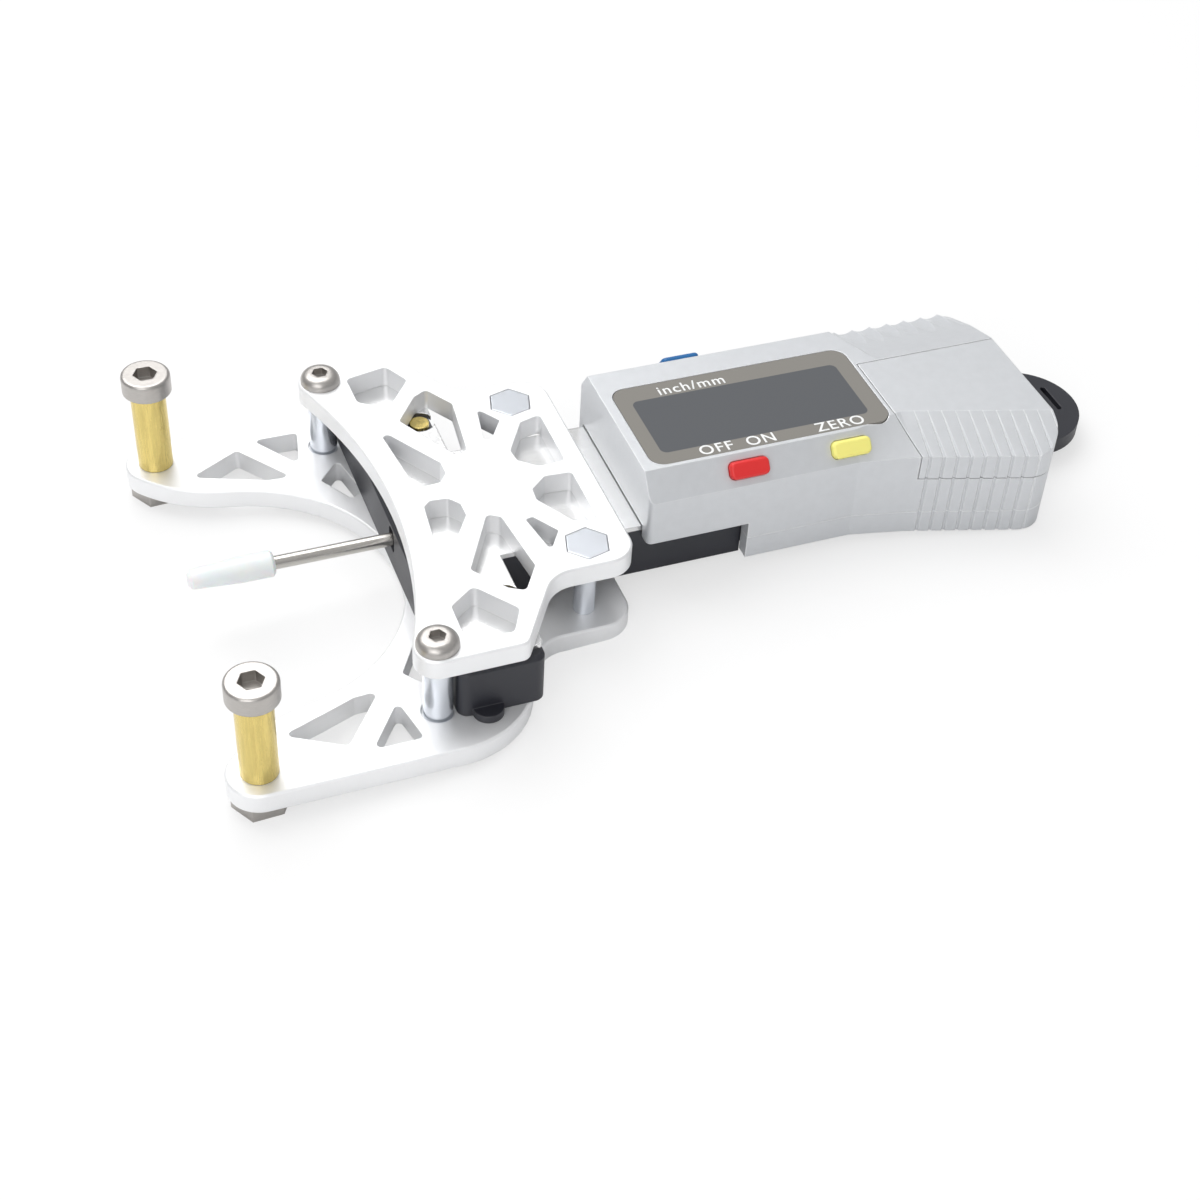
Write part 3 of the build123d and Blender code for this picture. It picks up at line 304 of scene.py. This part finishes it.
class FinishMaker:
    """Builds materials from the shared groups"""

    def __init__(self):
        self.grain = surface_grain_group()
        self.streaks = drawn_streaks_group()
        self.edge = painted_edge_highlight_group()
        self.edge_radius = bpy.context.scene.gauge_finish.edge_radius

    def blank(self, name, roughness, metallic=0.0, **plain):
        """A material with one principled shader, whose plain numbers are set on the shader"""
        finish = bpy.data.materials.new(name)
        finish.use_nodes = True
        tree = finish.node_tree
        shader = tree.nodes["Principled BSDF"]
        shader.inputs["Roughness"].default_value = roughness
        shader.inputs["Metallic"].default_value = metallic
        for socket, value in plain.items():
            shader.inputs[socket.replace("_", " ")].default_value = value
        return finish, tree, shader

    def pattern(self, tree, group, place, **values):
        """Places a shared group in a material with its own values"""
        made = node_at(tree, "ShaderNodeGroup", place, node_tree=group)
        for socket, value in values.items():
            made.inputs[socket.replace("_", " ")].default_value = value
        return made

    def colour(self, tree, shader, base, tone, edge_highlight=None, highlight_colour=None):
        """Base colour times the tone, going over to a lighter colour at the edges: a painted edge
        highlight
        """
        tinted = node_at(tree, "ShaderNodeVectorMath", (-350, 350), operation="SCALE")
        tinted.inputs[0].default_value = base[:3]
        tree.links.new(tone, tinted.inputs["Scale"])
        result = tinted.outputs[0]
        # Painted edge highlight: the colour goes over to a lighter one on rounded edges
        if edge_highlight is not None:
            highlighted = node_at(tree, "ShaderNodeMix", (-150, 350), data_type="RGBA")
            highlighted.inputs["B"].default_value = (*highlight_colour[:3], 1.0)
            tree.links.new(edge_highlight, highlighted.inputs["Factor"])
            tree.links.new(result, highlighted.inputs["A"])
            result = highlighted.outputs["Result"]
        tree.links.new(result, shader.inputs["Base Color"])

    def relief(self, tree, shader, height, strength, distance):
        """Bump from a height, on normals that are rounded at the edges"""
        rounded = node_at(tree, "ShaderNodeBevel", (-350, -350), samples=6)
        rounded.inputs["Radius"].default_value = self.edge_radius
        bump = node_at(tree, "ShaderNodeBump", (-150, -250))
        bump.inputs["Strength"].default_value = strength
        bump.inputs["Distance"].default_value = distance
        tree.links.new(height, bump.inputs["Height"])
        tree.links.new(rounded.outputs[0], bump.inputs["Normal"])
        tree.links.new(bump.outputs[0], shader.inputs["Normal"])

    def roughness(self, tree, shader, tone, level):
        """Roughness that varies a little with the tone"""
        varied = node_at(tree, "ShaderNodeMath", (-150, 0), operation="MULTIPLY", use_clamp=True)
        varied.inputs[1].default_value = level
        tree.links.new(tone, varied.inputs[0])
        tree.links.new(varied.outputs[0], shader.inputs["Roughness"])

    def grained(self, name, base, roughness, metallic, grain_scale, bump, tone=(60, 0.1),
                edge_highlight=None, **plain):
        """Finish with an even grain: blasted metal, lacquer or moulded plastic"""
        finish, tree, shader = self.blank(name, roughness, metallic, **plain)
        grain = self.pattern(
            tree, self.grain, (-650, 0), Grain_Scale=grain_scale, Tone_Scale=tone[0], Contrast=tone[1]
        )
        # Painted edge highlight: the colour turns lighter on rounded edges, by the edge mask
        if edge_highlight:
            edge = self.pattern(
                tree, self.edge, (-650, 300), Radius=edge_highlight["radius"], Amount=edge_highlight["amount"],
                Breakup=edge_highlight["breakup"],
            )
            self.colour(tree, shader, base, grain.outputs["Tone"], edge.outputs["Mask"], edge_highlight["colour"])
        else:
            self.colour(tree, shader, base, grain.outputs["Tone"])
        self.roughness(tree, shader, grain.outputs["Tone"], roughness)
        self.relief(tree, shader, grain.outputs["Height"], bump, 0.0001)
        return finish

    def streaked(self, name, base, roughness, metallic, stretch, scale, contrast, bump, **plain):
        """Finish with long streaks: turned, drawn or rubbed metal"""
        finish, tree, shader = self.blank(name, roughness, metallic, **plain)
        streaks = self.pattern(
            tree, self.streaks, (-650, 0), Stretch=stretch, Scale=scale, Contrast=contrast
        )
        self.colour(tree, shader, base, streaks.outputs["Tone"])
        self.roughness(tree, shader, streaks.outputs["Tone"], roughness)
        self.relief(tree, shader, streaks.outputs["Height"], bump, 0.0001)
        return finish


def finish_nodes(finish, slot, *names):
    """Gives a material to the named pieces of the frame"""
    for name in names:
        mesh = NODES[name].data
        mesh.materials.clear()
        mesh.materials.append(finish)


def both(name):
    """The far and the near copy of a piece"""
    return f"{name}_far", f"{name}_near"


def smooth_rounds(*names):
    """Smooth shading on round faces, with sharp edges kept"""
    for name in names:
        mesh = NODES[name].data
        mesh.shade_smooth()
        mesh.set_sharp_from_angle(angle=math.radians(28))


# Operators


class GAUGE_OT_plates(bpy.types.Operator):
    """Blasted aluminium on the two plates"""

    bl_idname = "gauge.plates"
    bl_label = "Plates"

    def execute(self, context):
        settings = context.scene.gauge_finish
        maker = FinishMaker()
        blasted = maker.grained(
            "blasted_aluminium", settings.plate_colour, 0.46, 0.55, 9000.0, 0.22, tone=(90, 0.07),
            # The edge colour is a painted highlight along the plates' edges
            edge_highlight={"radius": 0.0004, "amount": 0.5, "breakup": 500.0, "colour": (0.97, 0.975, 0.98)},
        )
        finish_nodes(blasted, "plate", "lower_plate", "upper_plate")
        smooth_rounds("lower_plate", "upper_plate")
        return {"FINISHED"}


class GAUGE_OT_fasteners(bpy.types.Operator):
    """Steel, zinc and brass on the rollers, screws, bolts and spacers"""

    bl_idname = "gauge.fasteners"
    bl_label = "Fasteners"

    def execute(self, context):
        maker = FinishMaker()
        stainless = maker.streaked(
            "turned_stainless", (0.46, 0.44, 0.42), 0.34, 0.95, (1.0, 1.0, 6.0), 1400.0, 0.35, 0.25
        )
        zinc = maker.streaked(
            "bright_zinc", (0.74, 0.77, 0.82), 0.26, 0.9, (1.0, 1.0, 0.25), 700.0, 0.14, 0.12
        )
        brass = maker.streaked(
            "drawn_brass", (0.70, 0.56, 0.20), 0.27, 0.95, (1.0, 1.0, 0.08), 1500.0, 0.75, 0.35
        )
        finish_nodes(
            stainless, "stainless", *both("roller_screw"), *both("roller_nut"), *both("front_screw"),
            *both("housing_screw"), "rod_clamp_screw",
        )
        finish_nodes(zinc, "zinc", *both("front_spacer"), *both("rear_bolt"))
        finish_nodes(brass, "brass", *both("roller_sleeve"), *both("foot_screw"))
        smooth_rounds(
            *both("roller_screw"), *both("roller_nut"), *both("front_screw"), *both("housing_screw"),
            *both("front_spacer"), *both("rear_bolt"), *both("roller_sleeve"), *both("foot_screw"),
            "rod_clamp_screw",
        )
        return {"FINISHED"}


class GAUGE_OT_foot(bpy.types.Operator):
    """Black moulding, its stainless plate and the scale board"""

    bl_idname = "gauge.foot"
    bl_label = "Foot and scale"

    def execute(self, context):
        maker = FinishMaker()
        black = maker.grained(
            "black_moulding", (0.018, 0.019, 0.026), 0.42, 0.0, 6000.0, 0.25, tone=(120, 0.25),
            # The edge colour is a painted highlight along the moulding's edges
            edge_highlight={"radius": 0.0003, "amount": 0.35, "breakup": 700.0, "colour": (0.09, 0.09, 0.1)},
        )
        plate = maker.streaked(
            "brushed_stainless", (0.80, 0.80, 0.80), 0.24, 0.95, (0.05, 1.0, 1.0), 2200.0, 0.16, 0.2
        )
        board = maker.grained("scale_board", (0.03, 0.10, 0.05), 0.4, 0.0, 3000.0, 0.1)
        finish_nodes(black, "black_plastic", "gauge_foot")
        finish_nodes(plate, "stainless", "steel_plate")
        finish_nodes(board, "board", "scale_board")
        smooth_rounds("gauge_foot", "steel_plate")
        return {"FINISHED"}


class GAUGE_OT_shells(bpy.types.Operator):
    """Silver lacquer on the shells and the battery cover"""

    bl_idname = "gauge.shells"
    bl_label = "Shells and cover"

    def execute(self, context):
        settings = context.scene.gauge_finish
        maker = FinishMaker()
        lacquer = maker.grained(
            "silver_lacquer", settings.lacquer_colour, 0.36, 0.35, 14000.0, 0.30, tone=(700, 0.10),
            # The edge colour is a painted highlight along the shells' ridges and edges
            edge_highlight={"radius": 0.0003, "amount": 0.8, "breakup": 900.0, "colour": (0.93, 0.94, 0.95)},
        )
        finish_nodes(lacquer, "silver_plastic", "display_housing", "housing_back", "battery_cover")
        smooth_rounds("display_housing", "housing_back", "battery_cover")
        return {"FINISHED"}


class GAUGE_OT_window(bpy.types.Operator):
    """Window with its printed border, the blank display behind it and the white words"""

    bl_idname = "gauge.window"
    bl_label = "Window and words"

    def execute(self, context):
        settings = context.scene.gauge_finish
        maker = FinishMaker()
        finish_nodes(self.window_finish(maker, settings), "window", "display_lens")
        white = maker.grained("white_print", (0.86, 0.87, 0.87), 0.5, 0.0, 5000.0, 0.05)
        border = 0.5 * (LENS_HIGH.x - LENS_LOW.x - 0.0315)
        far_y = LENS_HIGH.y - 0.0016
        near_y = LENS_LOW.y + 0.0012
        height = settings.letter_height
        self.word("inch/mm", white, (LENS_LOW.x + 0.0118, far_y - 0.0004), height)
        self.word("OFF", white, (LENS_LOW.x + 0.0097, near_y), height)
        self.word("ON", white, (LENS_LOW.x + 0.0164, near_y), height)
        self.word("ZERO", white, (LENS_LOW.x + 0.0285, near_y), height)
        return {"FINISHED"}

    def window_finish(self, maker, settings):
        """Glossy plastic: the border's print outside the view, the dark display inside it"""
        finish, tree, shader = maker.blank(
            "window_plastic", 0.16, 0.0, Coat_Weight=0.6, Coat_Roughness=0.08
        )
        link = tree.links.new
        where = node_at(tree, "ShaderNodeTexCoord", (-1500, 0))
        centre = Vector((0.0785, -0.0023, 0.0))
        half = Vector((0.0315, 0.01195, 0.0)) / 2
        corner = 0.0010
        moved = node_at(tree, "ShaderNodeVectorMath", (-1300, 0), operation="SUBTRACT")
        moved.inputs[1].default_value = centre
        folded = node_at(tree, "ShaderNodeVectorMath", (-1120, 0), operation="ABSOLUTE")
        inner = node_at(tree, "ShaderNodeVectorMath", (-940, 0), operation="SUBTRACT")
        inner.inputs[1].default_value = (half.x - corner, half.y - corner, 1.0)
        outside = node_at(tree, "ShaderNodeVectorMath", (-760, 0), operation="MAXIMUM")
        outside.inputs[1].default_value = (0.0, 0.0, 0.0)
        reach = node_at(tree, "ShaderNodeVectorMath", (-580, 0), operation="LENGTH")
        edge = node_at(tree, "ShaderNodeMapRange", (-400, 0))
        edge.inputs["From Min"].default_value = corner - 0.00005
        edge.inputs["From Max"].default_value = corner + 0.00005
        mixed = node_at(tree, "ShaderNodeMix", (-200, 200), data_type="RGBA")
        mixed.inputs["A"].default_value = settings.view_colour
        mixed.inputs["B"].default_value = settings.border_colour
        link(where.outputs["Object"], moved.inputs[0])
        link(moved.outputs[0], folded.inputs[0])
        link(folded.outputs[0], inner.inputs[0])
        link(inner.outputs[0], outside.inputs[0])
        link(outside.outputs[0], reach.inputs[0])
        link(reach.outputs["Value"], edge.inputs["Value"])
        link(edge.outputs["Result"], mixed.inputs["Factor"])
        link(mixed.outputs["Result"], shader.inputs["Base Color"])
        return finish

    def word(self, text, finish, place, height):
        """A white word lying on the window, read from the near side"""
        curve = bpy.data.curves.new(f"word {text}", "FONT")
        curve.body = text
        curve.size = height * 1.42
        curve.space_character = 1.12
        curve.align_x = "CENTER"
        curve.align_y = "CENTER"
        curve.extrude = 0.00001
        curve.offset = 0.00003
        name = "word_" + text.lower().replace("/", "_")
        made = bpy.data.objects.new(name, curve)
        bpy.context.collection.objects.link(made)
        made.location = (place[0], place[1], LENS_HIGH.z + 0.00001)
        made.data.materials.append(finish)
        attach(made, "display")


class GAUGE_OT_buttons(bpy.types.Operator):
    """Coloured buttons"""

    bl_idname = "gauge.buttons"
    bl_label = "Buttons"

    def execute(self, context):
        maker = FinishMaker()
        for name, slot, colour in (
            ("units", "blue", (0.008, 0.12, 0.33)),
            ("power", "red", (0.68, 0.02, 0.02)),
            ("zero", "yellow", (0.86, 0.80, 0.22)),
        ):
            finish = maker.grained(
                f"{slot}_rubber", colour, 0.42, 0.0, 5000.0, 0.12, tone=(300, 0.08),
                Subsurface_Weight=0.05, Subsurface_Scale=0.001,
            )
            finish_nodes(finish, slot, f"button_{name}")
            smooth_rounds(f"button_{name}")
        return {"FINISHED"}


class GAUGE_OT_probe(bpy.types.Operator):
    """Steel rod and its soft white tip"""

    bl_idname = "gauge.probe"
    bl_label = "Rod and tip"

    def execute(self, context):
        maker = FinishMaker()
        steel = maker.streaked(
            "ground_steel", (0.52, 0.50, 0.47), 0.22, 0.95, (0.06, 1.0, 1.0), 2600.0, 0.4, 0.15
        )
        soft = maker.grained(
            "soft_silicone", (0.86, 0.87, 0.88), 0.38, 0.0, 2600.0, 0.12, tone=(400, 0.12),
            Subsurface_Weight=0.35, Subsurface_Scale=0.002, Transmission_Weight=0.12,
        )
        finish_nodes(steel, "stainless", "measuring_rod")
        finish_nodes(soft, "tip", "rod_tip")
        smooth_rounds("measuring_rod", "rod_tip")
        return {"FINISHED"}


class GAUGE_OT_inside(bpy.types.Operator):
    """Finishes of the pieces inside the display unit"""

    bl_idname = "gauge.inside"
    bl_label = "Inner pieces"

    def execute(self, context):
        maker = FinishMaker()
        board = maker.grained("green_board", (0.02, 0.12, 0.05), 0.35, 0.0, 3000.0, 0.1)
        rubber = maker.grained("contact_rubber", (0.12, 0.12, 0.13), 0.7, 0.0, 3000.0, 0.1)
        switch = maker.grained("switch_plastic", (0.04, 0.04, 0.045), 0.5, 0.0, 3000.0, 0.1)
        spring = maker.streaked(
            "spring_steel", (0.6, 0.6, 0.58), 0.25, 0.95, (0.1, 1.0, 1.0), 1500.0, 0.2, 0.1
        )
        crystal = maker.grained("display_crystal", (0.2, 0.21, 0.22), 0.1, 0.0, 2000.0, 0.02)
        cell = maker.streaked(
            "battery_can", (0.66, 0.66, 0.65), 0.25, 0.95, (1.0, 0.2, 1.0), 1200.0, 0.15, 0.1
        )
        finish_nodes(board, "board", "circuit_board")
        finish_nodes(rubber, "contact_rubber", *both("lcd_connector"))
        finish_nodes(switch, "switch", "switch_units", "switch_power", "switch_zero")
        finish_nodes(spring, "spring_steel", "gib_spring", "contact_lower", "contact_side")
        finish_nodes(crystal, "lcd", "lcd_panel")
        finish_nodes(cell, "stainless", "battery")
        smooth_rounds("battery", "gib_spring")
        return {"FINISHED"}


class GAUGE_OT_stage(bpy.types.Operator):
    """Pale floor, soft lamps, surroundings and the camera"""

    bl_idname = "gauge.stage"
    bl_label = "Stage"

    def execute(self, context):
        settings = context.scene.gauge_stage
        self.floor(settings)
        self.lamps(settings)
        self.surroundings(settings)
        self.camera(context)
        context.scene.view_settings.view_transform = "Standard"
        return {"FINISHED"}

    def rest_slope(self):
        """Slope of the surface under the gauge, which rests on its nuts and the shell's rear"""
        return math.atan2(BACK_LOW.z - NUT_LOW.z, BACK_HIGH.x - NUT_LOW.x)

    def floor(self, settings):
        """A wide plain floor that touches the nuts and the shell's rear edge"""
        half = settings.floor_size / 2
        mesh = bpy.data.meshes.new("floor")
        corners = [(-half, -half, 0), (half, -half, 0), (half, half, 0), (-half, half, 0)]
        mesh.from_pydata(corners, [], [(0, 1, 2, 3)])
        floor = bpy.data.objects.new("floor", mesh)
        bpy.context.collection.objects.link(floor)
        slope = self.rest_slope()
        turn = Matrix.Rotation(-slope, 4, "Y")
        place = Vector((NUT_LOW.x, 0.0, NUT_LOW.z - 0.00002))
        floor.matrix_world = Matrix.Translation(place) @ turn
        mesh.materials.append(self.paper())

    def paper(self):
        """White floor that the camera sees as white, with the gauge's soft shadow kept"""
        paper = bpy.data.materials.new("white_paper")
        paper.use_nodes = True
        tree = paper.node_tree
        shader = tree.nodes["Principled BSDF"]
        output = tree.nodes["Material Output"]
        shader.inputs["Base Color"].default_value = (0.82, 0.82, 0.82, 1.0)
        shader.inputs["Roughness"].default_value = 0.9
        shader.inputs["Specular IOR Level"].default_value = 0.0
        glow = node_at(tree, "ShaderNodeEmission", (0, -300))
        glow.inputs["Strength"].default_value = 1.0
        seen = node_at(tree, "ShaderNodeLightPath", (-300, 300))
        share = node_at(tree, "ShaderNodeMath", (0, 300), operation="MULTIPLY")
        share.inputs[1].default_value = 0.62
        blend = node_at(tree, "ShaderNodeMixShader", (200, 0))
        tree.links.new(seen.outputs["Is Camera Ray"], share.inputs[0])
        tree.links.new(share.outputs[0], blend.inputs[0])
        tree.links.new(shader.outputs[0], blend.inputs[1])
        tree.links.new(glow.outputs[0], blend.inputs[2])
        tree.links.new(blend.outputs[0], output.inputs["Surface"])
        return paper

    def lamps(self, settings):
        """Large soft lamps: one above and behind, one low at the near side"""
        middle = Vector(((CAD_LOW[0] + CAD_HIGH[0]) / 2, 0.0, 0.0))
        for name, place, size, power in (
            ("key", (-0.10, 0.25, 0.50), 0.5, settings.key_power),
            ("fill", (-0.30, -0.40, 0.30), 0.4, settings.fill_power),
        ):
            lamp = bpy.data.lights.new(name, "AREA")
            lamp.shape = "SQUARE"
            lamp.size = size
            lamp.energy = power
            holder = bpy.data.objects.new(name, lamp)
            bpy.context.collection.objects.link(holder)
            holder.location = middle + Vector(place)
            aim = middle - holder.location
            holder.rotation_euler = aim.to_track_quat("-Z", "Y").to_euler()

    def surroundings(self, settings):
        """Pale surroundings: white to the camera, softer as light, paler above than at the sides"""
        world = bpy.data.worlds.new("surroundings")
        bpy.context.scene.world = world
        world.use_nodes = True
        tree = world.node_tree
        sky = tree.nodes["Background"]
        output = tree.nodes["World Output"]
        where = node_at(tree, "ShaderNodeTexCoord", (-900, 0))
        split = node_at(tree, "ShaderNodeSeparateXYZ", (-700, 0))
        ramp = node_at(tree, "ShaderNodeValToRGB", (-500, 0))
        ramp.color_ramp.elements[0].position = 0.0
        ramp.color_ramp.elements[0].color = (0.62, 0.63, 0.65, 1.0)
        ramp.color_ramp.elements[1].position = 0.8
        ramp.color_ramp.elements[1].color = (1.0, 1.0, 1.0, 1.0)
        sky.inputs["Strength"].default_value = settings.world_strength
        white = node_at(tree, "ShaderNodeBackground", (-200, -200))
        white.inputs["Color"].default_value = (1.0, 1.0, 1.0, 1.0)
        seen = node_at(tree, "ShaderNodeLightPath", (-200, 300))
        blend = node_at(tree, "ShaderNodeMixShader", (100, 0))
        tree.links.new(where.outputs["Generated"], split.inputs[0])
        tree.links.new(split.outputs["Z"], ramp.inputs[0])
        tree.links.new(ramp.outputs["Color"], sky.inputs["Color"])
        tree.links.new(seen.outputs["Is Camera Ray"], blend.inputs[0])
        tree.links.new(sky.outputs[0], blend.inputs[1])
        tree.links.new(white.outputs[0], blend.inputs[2])
        tree.links.new(blend.outputs[0], output.inputs["Surface"])

    def camera(self, context):
        """Camera at the photograph's angle, from a fit to the plates, fasteners and display"""
        image_width = 1200.0
        focal_pixels = 2044.286
        sensor = 36.0
        azimuth = math.radians(-22.944)
        elevation = math.radians(42.607)
        roll = math.radians(3.686)
        target = Vector((40.0, 0.0, 0.0)) * MM
        across, upward, distance = -16.669 * MM, 5.222 * MM, 292.072 * MM
        back = Vector((
            math.sin(azimuth) * math.cos(elevation),
            -math.cos(azimuth) * math.cos(elevation),
            math.sin(elevation),
        ))
        level = Vector((math.cos(azimuth), math.sin(azimuth), 0.0))
        upright = back.cross(level)
        right = math.cos(roll) * level + math.sin(roll) * upright
        up = math.cos(roll) * upright - math.sin(roll) * level
        lens = bpy.data.cameras.new("camera")
        lens.sensor_width = sensor
        lens.lens = focal_pixels * sensor / image_width
        lens.clip_start = 0.01
        lens.clip_end = 20.0
        holder = bpy.data.objects.new("camera", lens)
        bpy.context.collection.objects.link(holder)
        place = target - right * across - up * upward + back * distance
        turn = Matrix((right, up, back)).transposed().to_4x4()
        holder.matrix_world = Matrix.Translation(place) @ turn
        context.scene.camera = holder


class GAUGE_PT_panel(bpy.types.Panel):
    """Lists the gauge's settings and steps"""

    bl_idname = "GAUGE_PT_panel"
    bl_label = "Belt tension gauge"
    bl_space_type = "VIEW_3D"
    bl_region_type = "UI"
    bl_category = "Gauge"

    def draw(self, context):
        layout = self.layout
        for group in (context.scene.gauge_finish, context.scene.gauge_stage):
            for name in group.__annotations__:
                layout.prop(group, name)
        for step in STEPS:
            layout.operator(step.bl_idname)


STEPS = (
    GAUGE_OT_stage,
    GAUGE_OT_plates,
    GAUGE_OT_fasteners,
    GAUGE_OT_foot,
    GAUGE_OT_shells,
    GAUGE_OT_window,
    GAUGE_OT_buttons,
    GAUGE_OT_probe,
    GAUGE_OT_inside,
)
CLASSES = (GaugeFinishSettings, GaugeStageSettings, *STEPS, GAUGE_PT_panel)


def register():
    for item in CLASSES:
        bpy.utils.register_class(item)
    bpy.types.Scene.gauge_finish = bpy.props.PointerProperty(type=GaugeFinishSettings)
    bpy.types.Scene.gauge_stage = bpy.props.PointerProperty(type=GaugeStageSettings)


def unregister():
    del bpy.types.Scene.gauge_stage
    del bpy.types.Scene.gauge_finish
    for item in reversed(CLASSES):
        bpy.utils.unregister_class(item)


def main():
    """Makes every piece in order"""
    register()
    for step in STEPS:
        category, name = step.bl_idname.split(".")
        getattr(getattr(bpy.ops, category), name)()


if __name__ == "__main__":
    main()
